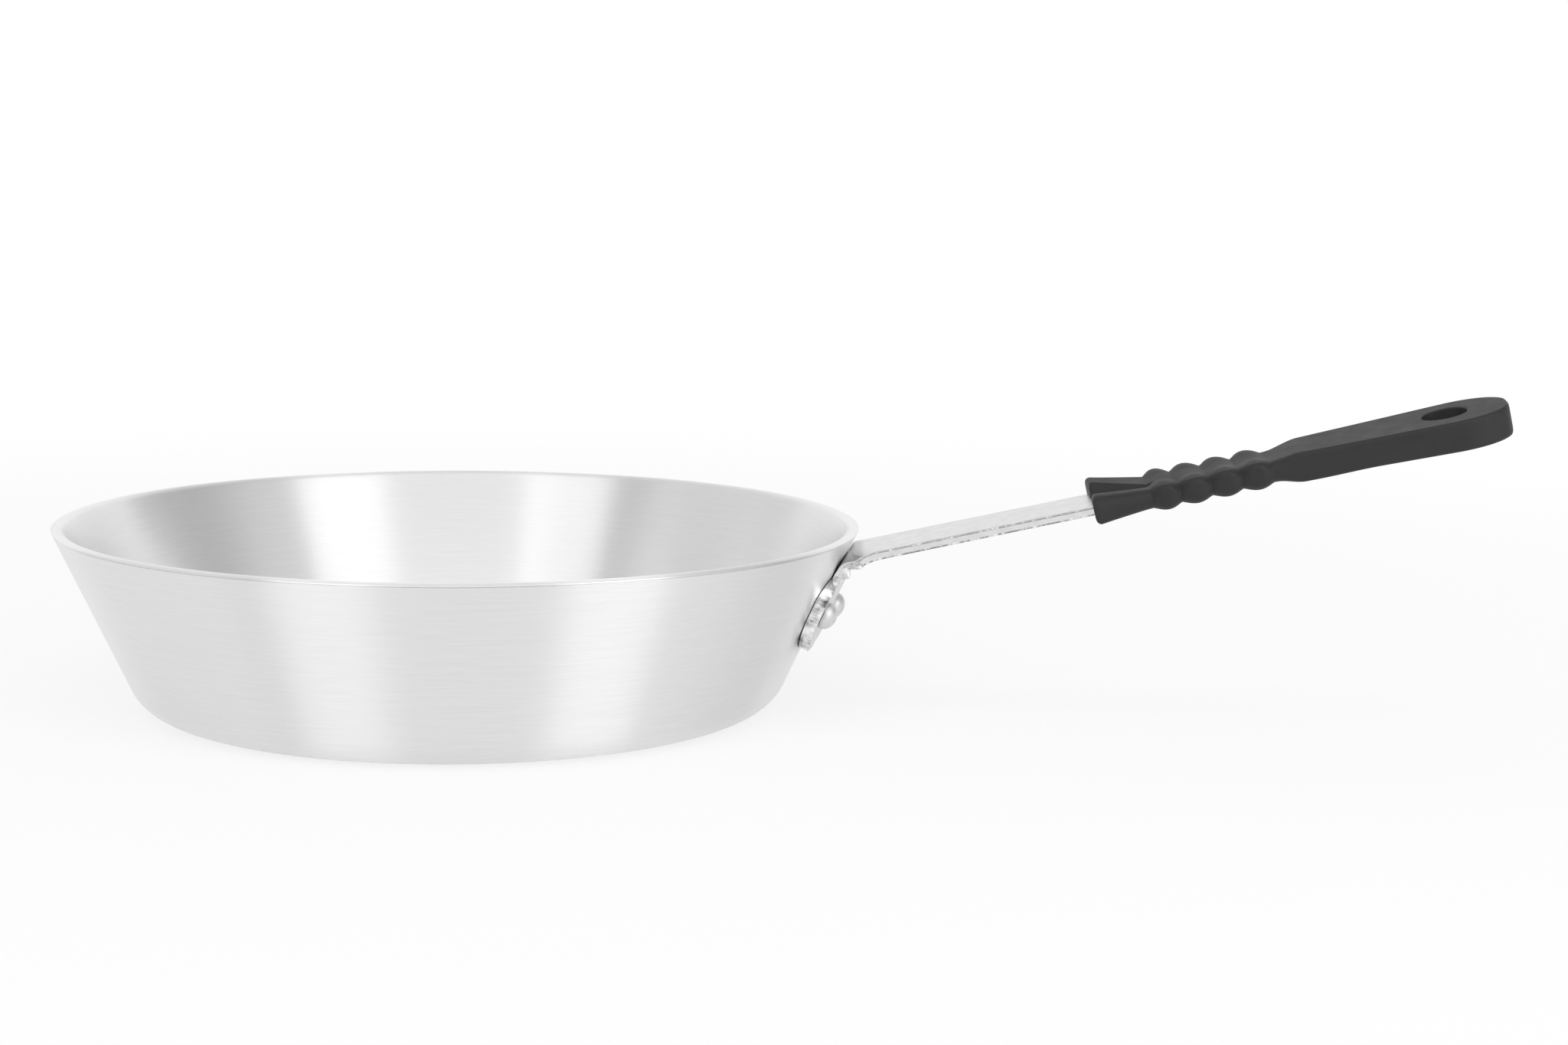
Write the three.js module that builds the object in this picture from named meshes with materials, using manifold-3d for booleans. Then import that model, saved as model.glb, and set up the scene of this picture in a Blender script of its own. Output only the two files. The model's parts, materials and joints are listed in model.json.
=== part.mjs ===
// Frying pan: a spun aluminium bowl, a plated steel strap handle on two rivets, and a pull-on silicone grip.
// Millimetres, +Z up. The origin is the centre of the base's underside and the handle points along +X.
import * as THREE from 'three';
import { mergeVertices } from 'three/addons/utils/BufferGeometryUtils.js';
import Module from 'manifold-3d';

const wasm = await Module();
wasm.setup();
const degrees = THREE.MathUtils.degToRad;

// Bowl
const RIM_RADIUS = 152.5; // widest point of the rim, a 12 inch pan
const BOWL_HEIGHT = 71; // underside of the base to the top of the rim
const BOWL_THICKNESS = 4; // the sheet, the same in base and wall
const WALL_LEAN = degrees(24.8); // the wall's slope away from vertical
const BASE_CORNER_RADIUS = 16.2; // outside corner between base and wall
const BOWL_SEGMENTS = 96; // facets round the bowl

// Strap handle
const STRAP_THICKNESS = 3.4;
const STRAP_WIDTH_AT_BEND = 28.4;
const STRAP_WIDTH_AT_GRIP = 26.2;
const STRAP_RISE = degrees(13.7); // upward slope of the straight run
const STRAP_ROLL = degrees(4.5); // the run's twist about its own length
const BEND_HEIGHT = 64; // where the lug's line and the run's line would meet
const BEND_RADIUS = 9; // of the strap's upper face
const TANG_WIDTH = 18; // inside the grip
const TANG_SHOULDER = 16; // length over which the strap narrows to the tang

// Lug at the strap's lower end
const LUG_WIDTH = 44;
const LUG_STANDOFF = 1; // between the lug's middle and the wall, as the lug bears on its side edges
const LUG_BELOW_RIVETS = 16.6; // rivet line to the lug's lower edge, along the wall
const LUG_ABOVE_RIVETS = 15.5; // rivet line to where the lug has narrowed to the strap
const LUG_ROUNDNESS = 3.2; // 2 makes the lower edge an ellipse, more squares it

// Rivets
const RIVET_HEIGHT = 41.8; // of the rivet line on the wall
const RIVET_SPACING = 23;
const RIVET_SHANK = 4.8; // diameter
const RIVET_OUTER_HEAD = 9.6; // diameter of the button head
const RIVET_OUTER_HEAD_HEIGHT = 3.4;
const RIVET_INNER_HEAD = 10; // diameter of the flat head inside the bowl
const RIVET_INNER_HEAD_HEIGHT = 1.3;
const RIVET_INNER_HEAD_BEVEL = 1; // width of its sloping edge

// Grip
const GRIP_START = 91; // bend to the grip's front, along the run
const GRIP_LENGTH = 154.8;
const FLARE_LENGTH = 20.2; // front to the first valley
const FLARE_SIDE_WALL = 4.4; // beside the strap at the front
const FLARE_WALL_ABOVE = 6.4; // over the strap at the front
const FLARE_WALL_BELOW = 3.2;
const FLARE_EDGE_RADIUS = 2.2; // rounding of the front edge
const FRONT_HOLLOW = 1.6; // how far the middle of the front face stands back from its sides
const GRIP_SKEW = degrees(6); // front and beads lie a little askew, and the paddle lies straight
const THUMB_GROOVE_WIDTH = 18; // at the front, tapering to nothing at the first bead
const THUMB_GROOVE_FLOOR = 1.2; // silicone left under the groove's deepest point
const BEAD_COUNT = 4;
const BEAD_PITCH = 11.5;
const BEAD_HEIGHT = 1.2; // crest over valley, above and below
const BEAD_BULGE = 2; // crest over valley, at each side
const VALLEY_SIDE_WALL = 2.9; // beside the tang between two beads
const VALLEY_WALL_ABOVE = 2.9; // over the tang between two beads
const VALLEY_WALL_BELOW = 2.6;
const BEAD_CORNER_RADIUS = 4.4; // rounding of the beads' section
const PADDLE_BLEND = 15.5; // last valley to the start of the flat paddle
const PADDLE_WALL_ABOVE = 5; // over the tang
const PADDLE_WALL_BELOW = 2.7;
const PADDLE_ROOT_WIDTH = 26;
const PADDLE_END_WIDTH = 34;
const PADDLE_END_LENGTH = 20.4; // of the round end
const PADDLE_END_ROUNDNESS = 2.2; // 2 makes the end an ellipse, more squares it
const PADDLE_CORNER_RADIUS = 1.8;
const HOLE_TO_TIP = 22.9; // centre of the hanging hole to the grip's end
const HOLE_LENGTH = 16.8;
const HOLE_WIDTH = 15.4;
const TANG_TO_HOLE = 7; // silicone between the tang's end and the hole

// Clearances
const SEAT_GAP = 0.3; // between pieces that rest on each other
const SLIDE_GAP = 0.3; // round the tang in the grip, and round a rivet's shank

// The straight outside wall is tangent to the round rim and to the base corner.
const rimRound = BOWL_THICKNESS / 2;
const wallTop = {
  radius: RIM_RADIUS - rimRound + rimRound * Math.cos(WALL_LEAN),
  height: BOWL_HEIGHT - rimRound - rimRound * Math.sin(WALL_LEAN),
};

function wallRadius(height) {
  return wallTop.radius - (wallTop.height - height) * Math.tan(WALL_LEAN);
}

// Merges a closed geometry's corners and turns it into a solid that can be cut.
function toSolid(geometry) {
  const bare = geometry.clone();
  bare.deleteAttribute('normal');
  bare.deleteAttribute('uv');
  const merged = mergeVertices(bare, 1e-4);
  const corners = merged.index.array;
  const triVerts = [];
  for (let i = 0; i < corners.length; i += 3) {
    const [a, b, c] = corners.slice(i, i + 3);
    const hasArea = a !== b && b !== c && c !== a;
    if (hasArea) triVerts.push(a, b, c);
  }
  const vertProperties = new Float32Array(merged.attributes.position.array);
  return new wasm.Manifold(new wasm.Mesh({ numProp: 3, vertProperties, triVerts: new Uint32Array(triVerts) }));
}

function toGeometry(solid) {
  const { vertProperties, triVerts } = solid.getMesh();
  const geometry = new THREE.BufferGeometry();
  geometry.setAttribute('position', new THREE.BufferAttribute(new Float32Array(vertProperties), 3));
  geometry.setIndex(new THREE.BufferAttribute(new Uint32Array(triVerts), 1));
  geometry.computeVertexNormals();
  return geometry;
}

// Skins a row of rings, each the same number of points, and closes both ends with a fan.
function skinRings(rings) {
  const points = rings.flat();
  const count = rings[0].length;
  const index = [];
  for (let ring = 0; ring < rings.length - 1; ring += 1) {
    for (let i = 0; i < count; i += 1) {
      const a = ring * count + i;
      const b = ring * count + ((i + 1) % count);
      index.push(a, b, b + count, a, b + count, a + count);
    }
  }
  const closeEnd = (ring, facesStart) => {
    const centre = new THREE.Vector3();
    rings[ring].forEach((point) => centre.add(point));
    points.push(centre.divideScalar(count));
    const hub = points.length - 1;
    for (let i = 0; i < count; i += 1) {
      const a = ring * count + i;
      const b = ring * count + ((i + 1) % count);
      index.push(...(facesStart ? [hub, b, a] : [hub, a, b]));
    }
  };
  closeEnd(0, true);
  closeEnd(rings.length - 1, false);
  const geometry = new THREE.BufferGeometry().setFromPoints(points);
  geometry.setIndex(index);
  return geometry;
}

const smoothStep = (value) => THREE.MathUtils.smoothstep(value, 0, 1);
const mix = THREE.MathUtils.lerp;

// How far a round face of a radius falls away from its middle, at a distance to one side
function fallAway(radius, side) {
  return radius - Math.sqrt(radius * radius - side * side);
}

// The lug is bowed a little more tightly than the wall, so that its side edges come down onto it.
const rivetRadius = wallRadius(RIVET_HEIGHT);
const wallBow = rivetRadius / Math.cos(WALL_LEAN);
const lugFall = fallAway(wallBow, LUG_WIDTH / 2) + LUG_STANDOFF - SEAT_GAP;
const lugBow = ((LUG_WIDTH / 2) ** 2 + lugFall ** 2) / (2 * lugFall);

// A rivet leans halfway between the wall's normal and the lug's.
const rivetTurn = Math.asin(RIVET_SPACING / 2 / rivetRadius);
const lugTurn = Math.asin(RIVET_SPACING / 2 / lugBow);
const rivetTilt = (rivetTurn + lugTurn) / 2;

// Stands a shape that is modelled along Y, with 0 on the wall's outside, on a rivet's place at one side
function alongRivet(geometry, side) {
  const turn = side * rivetTurn;
  const point = new THREE.Vector3(rivetRadius * Math.cos(turn), rivetRadius * Math.sin(turn), RIVET_HEIGHT);
  const tilt = side * rivetTilt;
  const outward = new THREE.Vector3(Math.cos(tilt), Math.sin(tilt), -Math.tan(WALL_LEAN)).normalize();
  const axis = new THREE.Vector3(0, 1, 0);
  geometry.applyQuaternion(new THREE.Quaternion().setFromUnitVectors(axis, outward));
  return geometry.translate(point.x, point.y, point.z);
}

// A plain bar along a rivet's axis, wide enough for the shank to pass, that cuts its hole
function rivetDrill(side) {
  const radius = RIVET_SHANK / 2 + SLIDE_GAP;
  const reach = 4 * (BOWL_THICKNESS + STRAP_THICKNESS);
  return toSolid(alongRivet(new THREE.CylinderGeometry(radius, radius, reach, 20), side));
}

// The bowl: one sheet of even thickness, turned about the axis, with a fully rounded rim.
function panBody() {
  const cornerRadius = wallRadius(0) - (BASE_CORNER_RADIUS * (1 - Math.sin(WALL_LEAN))) / Math.cos(WALL_LEAN);
  const insideCorner = BASE_CORNER_RADIUS - BOWL_THICKNESS;
  const rimHeight = BOWL_HEIGHT - rimRound;
  const section = new THREE.Path();
  section.moveTo(0, 0);
  section.lineTo(cornerRadius, 0);
  section.absarc(cornerRadius, BASE_CORNER_RADIUS, BASE_CORNER_RADIUS, -Math.PI / 2, -WALL_LEAN);
  section.absarc(RIM_RADIUS - rimRound, rimHeight, rimRound, -WALL_LEAN, Math.PI - WALL_LEAN);
  section.absarc(cornerRadius, BASE_CORNER_RADIUS, insideCorner, -WALL_LEAN, -Math.PI / 2, true);
  section.lineTo(0, BOWL_THICKNESS);
  const bowl = new THREE.LatheGeometry(section.getPoints(4), BOWL_SEGMENTS).rotateX(Math.PI / 2);
  return toGeometry(toSolid(bowl).subtract(rivetDrill(-1)).subtract(rivetDrill(1)));
}

// Where the lug's line and the run's line meet
const bend = new THREE.Vector3(wallRadius(BEND_HEIGHT) + LUG_STANDOFF / Math.cos(WALL_LEAN), 0, BEND_HEIGHT);
const wallRise = Math.PI / 2 - WALL_LEAN;
const bendSetback = BEND_RADIUS * Math.tan((wallRise - STRAP_RISE) / 2);
const tangEnd = GRIP_START + GRIP_LENGTH - HOLE_TO_TIP - HOLE_LENGTH / 2 - TANG_TO_HOLE;

// Direction of travel along the strap at a slope, and the upward direction square to it
function strapAxes(slope) {
  const along = new THREE.Vector3(Math.cos(slope), 0, Math.sin(slope));
  const up = new THREE.Vector3(-Math.sin(slope), 0, Math.cos(slope));
  return { along, up };
}

// Half width of the strap at a distance from the bend along the run, or past the run's end, of the tang
function runHalfWidth(distance) {
  if (distance < GRIP_START) {
    return mix(STRAP_WIDTH_AT_BEND, STRAP_WIDTH_AT_GRIP, distance / GRIP_START) / 2;
  }
  const narrowed = Math.min((distance - GRIP_START) / TANG_SHOULDER, 1);
  return mix(STRAP_WIDTH_AT_GRIP, TANG_WIDTH, narrowed) / 2;
}

// One cross-section of the strap, whose upper face is centred on the strap's line and bowed by a share
function strapRing({ centre, slope, halfWidth, roll, bow }) {
  const { up } = strapAxes(slope);
  const across = new THREE.Vector3(0, Math.cos(roll), 0).addScaledVector(up, Math.sin(roll));
  const normal = up.clone().multiplyScalar(Math.cos(roll)).add(new THREE.Vector3(0, -Math.sin(roll), 0));
  const point = (part, depth) => {
    const side = halfWidth * part;
    const lift = bow * fallAway(lugBow, side) - depth;
    return centre.clone().addScaledVector(across, side).addScaledVector(normal, lift);
  };
  const steps = 8;
  const parts = Array.from({ length: steps + 1 }, (_, i) => mix(-1, 1, i / steps));
  const lower = parts.map((part) => point(part, STRAP_THICKNESS));
  const upper = parts.map((part) => point(-part, 0));
  return [...lower, ...upper];
}

// The lug: round below the rivets. Above them it is drawn in to the strap, loses its bow and takes up the roll.
function lugStations() {
  const { along } = strapAxes(wallRise);
  const rivetLine = (RIVET_HEIGHT - BEND_HEIGHT) / Math.cos(WALL_LEAN);
  const station = (distance, halfWidth, drawnIn) => ({
    centre: bend.clone().addScaledVector(along, rivetLine + distance),
    slope: wallRise,
    halfWidth,
    roll: STRAP_ROLL * drawnIn,
    bow: 1 - drawnIn,
  });
  const stations = [];
  const lowerSteps = 12;
  const flatEnd = degrees(86); // leaves a short straight edge at the very bottom
  for (let i = 0; i <= lowerSteps; i += 1) {
    const angle = flatEnd * (1 - i / lowerSteps);
    const drop = LUG_BELOW_RIVETS * Math.sin(angle) ** (2 / LUG_ROUNDNESS);
    stations.push(station(-drop, (LUG_WIDTH / 2) * Math.cos(angle) ** (2 / LUG_ROUNDNESS), 0));
  }
  const upperSteps = 10;
  for (let i = 1; i <= upperSteps; i += 1) {
    const part = i / upperSteps;
    const drawnIn = part * part;
    stations.push(station(LUG_ABOVE_RIVETS * part, mix(LUG_WIDTH, STRAP_WIDTH_AT_BEND, drawnIn) / 2, drawnIn));
  }
  return stations;
}

// The bend from the wall's slope to the run's
function bendStations() {
  const steps = 10;
  const { along, up } = strapAxes(STRAP_RISE);
  const hub = bend.clone().addScaledVector(along, bendSetback).addScaledVector(up, -BEND_RADIUS);
  const stations = [];
  for (let i = 0; i <= steps; i += 1) {
    const slope = mix(wallRise, STRAP_RISE, i / steps);
    stations.push({
      centre: hub.clone().addScaledVector(strapAxes(slope).up, BEND_RADIUS),
      slope,
      halfWidth: STRAP_WIDTH_AT_BEND / 2,
      roll: STRAP_ROLL,
      bow: 0,
    });
  }
  return stations;
}

// The straight run and the tang inside the grip
function runStations() {
  const { along } = strapAxes(STRAP_RISE);
  const distances = [bendSetback * 1.5, GRIP_START / 2, GRIP_START, GRIP_START + TANG_SHOULDER, tangEnd];
  return distances.map((distance) => ({
    centre: bend.clone().addScaledVector(along, distance),
    slope: STRAP_RISE,
    halfWidth: runHalfWidth(distance),
    roll: STRAP_ROLL,
    bow: 0,
  }));
}

function handleStrap() {
  const stations = [...lugStations(), ...bendStations(), ...runStations()];
  const strap = toSolid(skinRings(stations.map(strapRing)));
  return toGeometry(strap.subtract(rivetDrill(-1)).subtract(rivetDrill(1)));
}

// A rivet, from its flat head inside the bowl through wall and lug to its button head outside
function rivet(side) {
  const shank = RIVET_SHANK / 2;
  const innerHead = RIVET_INNER_HEAD / 2;
  const outerHead = RIVET_OUTER_HEAD / 2;
  const half = RIVET_SPACING / 2;
  const lugFace = LUG_STANDOFF + STRAP_THICKNESS - fallAway(lugBow, half);
  const headLean = Math.tan(Math.abs(lugTurn - rivetTurn) / 2);
  const innerFall = fallAway(wallBow - BOWL_THICKNESS, innerHead);
  const innerSeat = -BOWL_THICKNESS - SEAT_GAP - innerFall - innerHead * headLean;
  const outerSeat = lugFace + fallAway(wallBow, half) + SEAT_GAP + outerHead * headLean;
  const section = new THREE.Path();
  section.moveTo(0, innerSeat - RIVET_INNER_HEAD_HEIGHT);
  section.lineTo(innerHead - RIVET_INNER_HEAD_BEVEL, innerSeat - RIVET_INNER_HEAD_HEIGHT);
  section.lineTo(innerHead, innerSeat - RIVET_INNER_HEAD_HEIGHT / 2);
  section.lineTo(innerHead, innerSeat);
  section.lineTo(shank, innerSeat);
  section.lineTo(shank, outerSeat);
  section.lineTo(outerHead, outerSeat);
  section.absellipse(0, outerSeat, outerHead, RIVET_OUTER_HEAD_HEIGHT, 0, Math.PI / 2);
  const turned = new THREE.LatheGeometry(section.getPoints(5), 24);
  return toGeometry(toSolid(alongRivet(turned, side)));
}

// The grip's outline at a distance from its front. Heights are from the strap's upper face.
const valleyHalf = TANG_WIDTH / 2 + SLIDE_GAP + VALLEY_SIDE_WALL;
const pocketFloor = STRAP_THICKNESS + SLIDE_GAP;
const beadsEnd = FLARE_LENGTH + BEAD_COUNT * BEAD_PITCH;
const paddleStart = beadsEnd + PADDLE_BLEND;
const roundEndStart = GRIP_LENGTH - PADDLE_END_LENGTH;

const valleySection = {
  half: valleyHalf,
  above: SLIDE_GAP + VALLEY_WALL_ABOVE,
  below: pocketFloor + VALLEY_WALL_BELOW,
  corner: BEAD_CORNER_RADIUS,
};

const flareSection = {
  half: STRAP_WIDTH_AT_GRIP / 2 + SLIDE_GAP + FLARE_SIDE_WALL,
  above: SLIDE_GAP + FLARE_WALL_ABOVE,
  below: pocketFloor + FLARE_WALL_BELOW,
  corner: PADDLE_CORNER_RADIUS,
};

function mixSections(first, second, part) {
  return {
    half: mix(first.half, second.half, part),
    above: mix(first.above, second.above, part),
    below: mix(first.below, second.below, part),
    corner: mix(first.corner, second.corner, part),
  };
}

function growSection(section, side, height) {
  return {
    ...section,
    half: section.half + side,
    above: section.above + height,
    below: section.below + height,
  };
}

// How far a quarter-round edge stands back from the full outline, at a distance from the end face
function edgeSetback(distance, radius) {
  const inside = Math.max(radius - distance, 0);
  return radius - Math.sqrt(radius * radius - inside * inside);
}

function paddleSection(distance) {
  const part = (distance - paddleStart) / (roundEndStart - paddleStart);
  const taper = mix(PADDLE_ROOT_WIDTH, PADDLE_END_WIDTH, Math.min(part, 1)) / 2;
  const past = Math.max(distance - roundEndStart, 0) / PADDLE_END_LENGTH;
  return {
    half: taper * (1 - past ** PADDLE_END_ROUNDNESS) ** (1 / PADDLE_END_ROUNDNESS),
    above: SLIDE_GAP + PADDLE_WALL_ABOVE,
    below: pocketFloor + PADDLE_WALL_BELOW,
    corner: PADDLE_CORNER_RADIUS,
  };
}

function gripSection(distance) {
  if (distance < FLARE_LENGTH) {
    const section = mixSections(flareSection, valleySection, distance / FLARE_LENGTH);
    const setback = edgeSetback(distance, FLARE_EDGE_RADIUS);
    return growSection(section, -setback, -setback);
  }
  if (distance < beadsEnd) {
    const crest = Math.abs(Math.sin((Math.PI * (distance - FLARE_LENGTH)) / BEAD_PITCH));
    return growSection(valleySection, BEAD_BULGE * crest, BEAD_HEIGHT * crest);
  }
  if (distance < paddleStart) {
    return mixSections(valleySection, paddleSection(paddleStart), smoothStep((distance - beadsEnd) / PADDLE_BLEND));
  }
  return paddleSection(distance);
}

// Depth of the thumb groove, a V along the top that is deepest at the front and runs out at the first bead
function grooveDepth(distance, side, top) {
  const left = Math.max(1 - distance / (FLARE_LENGTH + BEAD_PITCH / 2), 0);
  const reach = THUMB_GROOVE_WIDTH / 2;
  const deepest = Math.max(top - SLIDE_GAP - THUMB_GROOVE_FLOOR, 0);
  return left * deepest * Math.max(1 - Math.abs(side) / reach, 0);
}

const fullestCorner = 0.95; // a corner takes up at most this share of a side, so that some flat is left

// One ring of the grip: a rounded rectangle, with extra points along the top for the groove
function gripRing(distance) {
  const { half, above, below, corner } = gripSection(distance);
  const radius = Math.min(corner, half * fullestCorner, ((above + below) / 2) * fullestCorner);
  const cornerSteps = 5;
  const topSteps = 10;
  const outline = [];
  const roundCorner = (side, height, from) => {
    for (let i = 0; i <= cornerSteps; i += 1) {
      const angle = from + (Math.PI / 2) * (i / cornerSteps);
      outline.push([side + radius * Math.cos(angle), height + radius * Math.sin(angle)]);
    }
  };
  const flat = half - radius;
  roundCorner(flat, above - radius, 0);
  for (let i = 1; i < topSteps; i += 1) {
    outline.push([flat * (1 - 2 * (i / topSteps)), above]);
  }
  roundCorner(-flat, above - radius, Math.PI / 2);
  roundCorner(-flat, radius - below, Math.PI);
  roundCorner(flat, radius - below, 1.5 * Math.PI);
  return outline.map(([side, height]) => {
    const cut = height > 0 ? grooveDepth(distance, side, above) : 0;
    return new THREE.Vector3(distance + gripShift(distance, side), side, height - cut);
  });
}

// How far a point of the grip lies from its ring's plane, for the skew and for the hollow front
function gripShift(distance, side) {
  const askew = 1 - smoothStep((distance - beadsEnd) / PADDLE_BLEND);
  const hollow = Math.max(1 - distance / FLARE_LENGTH, 0) * Math.max(1 - Math.abs(side) / flareSection.half, 0);
  return FRONT_HOLLOW * hollow - side * Math.tan(GRIP_SKEW) * askew;
}

// Distances at which the grip's rings stand: close together where it curves
function gripDistances() {
  const steps = (from, to, count) => {
    return Array.from({ length: count }, (_, i) => mix(from, to, i / count));
  };
  const endSteps = 10;
  const lastAngle = degrees(86); // leaves a short straight edge at the very tip
  const roundEnd = Array.from({ length: endSteps + 1 }, (_, i) => {
    return roundEndStart + PADDLE_END_LENGTH * Math.sin((lastAngle * i) / endSteps);
  });
  return [
    ...steps(0, FLARE_EDGE_RADIUS, 4),
    ...steps(FLARE_EDGE_RADIUS, FLARE_LENGTH, 5),
    ...steps(FLARE_LENGTH, beadsEnd, BEAD_COUNT * 8),
    ...steps(beadsEnd, paddleStart, 6),
    ...steps(paddleStart, roundEndStart, 3),
    ...roundEnd,
  ];
}

// The pocket for the strap's end: the strap's own outline with a clearance all round, open at the front
function gripPocket() {
  const front = STRAP_WIDTH_AT_GRIP / 2 + SLIDE_GAP;
  const back = TANG_WIDTH / 2 + SLIDE_GAP;
  const depth = tangEnd - GRIP_START + SLIDE_GAP;
  const mouth = -GRIP_LENGTH / 10; // stands out of the front, so that the cut goes right through it
  const outline = new THREE.Shape();
  outline.moveTo(mouth, -front);
  outline.lineTo(0, -front);
  outline.lineTo(TANG_SHOULDER, -back);
  outline.lineTo(depth, -back);
  outline.lineTo(depth, back);
  outline.lineTo(TANG_SHOULDER, back);
  outline.lineTo(0, front);
  outline.lineTo(mouth, front);
  const height = STRAP_THICKNESS + 2 * SLIDE_GAP;
  const pocket = new THREE.ExtrudeGeometry(outline, { depth: height, bevelEnabled: false });
  return toSolid(pocket.translate(0, 0, -pocketFloor));
}

function hangingHole() {
  const reach = 4 * (PADDLE_WALL_ABOVE + STRAP_THICKNESS + PADDLE_WALL_BELOW);
  const outline = new THREE.Shape();
  outline.absellipse(GRIP_LENGTH - HOLE_TO_TIP, 0, HOLE_LENGTH / 2, HOLE_WIDTH / 2, 0, 2 * Math.PI);
  const bar = new THREE.ExtrudeGeometry(outline, { depth: reach, bevelEnabled: false, curveSegments: 32 });
  return toSolid(bar.translate(0, 0, -reach / 2));
}

function gripSleeve() {
  const outside = toSolid(skinRings(gripDistances().map(gripRing)));
  return toGeometry(outside.subtract(gripPocket()).subtract(hangingHole()));
}

const aluminium = new THREE.MeshStandardMaterial({ color: 0xd4d4d2, metalness: 1, roughness: 0.38 });
const platedSteel = new THREE.MeshStandardMaterial({ color: 0xdedede, metalness: 1, roughness: 0.3 });
const rivetMetal = new THREE.MeshStandardMaterial({ color: 0xcacac8, metalness: 1, roughness: 0.4 });
const silicone = new THREE.MeshStandardMaterial({ color: 0x3e3e3f, metalness: 0, roughness: 0.72 });

function piece(name, geometry, material) {
  const mesh = new THREE.Mesh(geometry, material);
  mesh.name = name;
  return mesh;
}

// The grip is modelled along its own length and stands on the strap's sloping, slightly rolled run.
const run = new THREE.Group();
run.position.copy(bend).addScaledVector(strapAxes(STRAP_RISE).along, GRIP_START);
run.rotation.set(STRAP_ROLL, -STRAP_RISE, 0, 'YXZ');
run.add(piece('grip_sleeve', gripSleeve(), silicone));

const fryingPan = new THREE.Group();
fryingPan.add(piece('pan_body', panBody(), aluminium));
fryingPan.add(piece('handle_strap', handleStrap(), platedSteel));
fryingPan.add(piece('rivet_left', rivet(-1), rivetMetal));
fryingPan.add(piece('rivet_right', rivet(1), rivetMetal));
fryingPan.add(run);

export default fryingPan;
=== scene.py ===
# A commercial-style frying pan: a spun aluminium bowl, a plated steel strap on two rivets, a silicone grip.
# Sizes are in millimetres until a mesh is made. +X runs out along the handle, +Z is up, the base is at z = 0.
import json
import math

import bpy
from mathutils import Matrix, Vector, noise


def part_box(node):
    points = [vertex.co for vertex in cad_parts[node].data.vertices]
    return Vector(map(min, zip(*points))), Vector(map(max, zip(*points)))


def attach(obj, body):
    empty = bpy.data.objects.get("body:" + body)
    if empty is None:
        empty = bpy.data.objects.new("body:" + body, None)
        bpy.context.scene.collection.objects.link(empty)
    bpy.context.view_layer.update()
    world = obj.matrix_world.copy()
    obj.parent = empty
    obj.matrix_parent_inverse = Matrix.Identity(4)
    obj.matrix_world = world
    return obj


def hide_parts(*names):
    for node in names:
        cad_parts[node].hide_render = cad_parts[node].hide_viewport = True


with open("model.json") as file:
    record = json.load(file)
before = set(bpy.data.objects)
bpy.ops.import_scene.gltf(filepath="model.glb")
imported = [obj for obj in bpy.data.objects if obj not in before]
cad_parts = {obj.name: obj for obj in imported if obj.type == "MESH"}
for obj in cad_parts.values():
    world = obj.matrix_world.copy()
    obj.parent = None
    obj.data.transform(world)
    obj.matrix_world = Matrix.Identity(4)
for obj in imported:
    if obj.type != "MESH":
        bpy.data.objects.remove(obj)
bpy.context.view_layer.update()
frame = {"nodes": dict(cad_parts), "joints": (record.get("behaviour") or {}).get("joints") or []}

# The bowl: one disc of aluminium sheet, spun over a former into a flat base and a straight leaning wall.
# The lathe trims the rim square and scores a fine line under it, and an abrasive pad leaves turning lines
# all round the axis, inside and outside.
MM = 0.001
bowl_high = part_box("pan_body")[1]
rim_radius = bowl_high.x / MM
rim_height = bowl_high.z / MM
sheet = 4.0
wall_lean = math.radians(24.8)
base_corner = 16.2
rim_round = sheet / 2

wall_up = Vector((math.sin(wall_lean), math.cos(wall_lean)))
wall_out = Vector((math.cos(wall_lean), -math.sin(wall_lean)))
rim_middle = Vector((rim_radius - rim_round, rim_height - rim_round))
wall_top = rim_middle + rim_round * wall_out


def wall_radius(height):
    """Radius of the wall's outside at a height."""
    return wall_top.x - (wall_top.y - height) * math.tan(wall_lean)


def arc(centre, radius, start, end, steps):
    """Points on an arc, both ends included, with its angles in degrees."""
    angles = [math.radians(start + (end - start) * i / steps) for i in range(steps + 1)]
    return [Vector((centre[0] + radius * math.cos(a), centre[1] + radius * math.sin(a))) for a in angles]


def even(start, end, steps):
    """Evenly spaced points from start up to, but without, end."""
    return [start.lerp(end, i / steps) for i in range(steps)]


def turned(profile, segments):
    """Turns a profile of (radius, height) points about the Z axis, and measures the run along the profile."""
    points, faces, runs, rows = [], [], [], []
    run = 0.0
    for number, (radius, height) in enumerate(profile):
        if number:
            run += math.dist(profile[number - 1], (radius, height))
        count = 1 if radius < 1e-6 else segments
        rows.append(range(len(points), len(points) + count))
        for i in range(count):
            angle = 2 * math.pi * i / segments
            points.append((radius * math.cos(angle), radius * math.sin(angle), height))
            runs.append(run)
    for first, second in zip(rows, rows[1:]):
        for i in range(segments):
            j = (i + 1) % segments
            corners = [first[i % len(first)], first[j % len(first)],
                       second[j % len(second)], second[i % len(second)]]
            faces.append(list(dict.fromkeys(corners)))
    return points, faces, runs


def add_piece(name, points, faces, material, crease=40):
    """Makes a smooth-shaded object from points in millimetres, keeping edges over the crease angle sharp."""
    mesh = bpy.data.meshes.new(name)
    mesh.from_pydata([Vector(point) * MM for point in points], [], faces)
    mesh.shade_smooth()
    mesh.set_sharp_from_angle(angle=math.radians(crease))
    mesh.materials.append(material)
    piece = bpy.data.objects.new(name, mesh)
    bpy.context.scene.collection.objects.link(piece)
    return piece


def add_values(piece, name, values):
    """Keeps one number for each point of a mesh, for its material to read."""
    attribute = piece.data.attributes.new(name, "FLOAT", "POINT")
    attribute.data.foreach_set("value", values)


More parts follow.
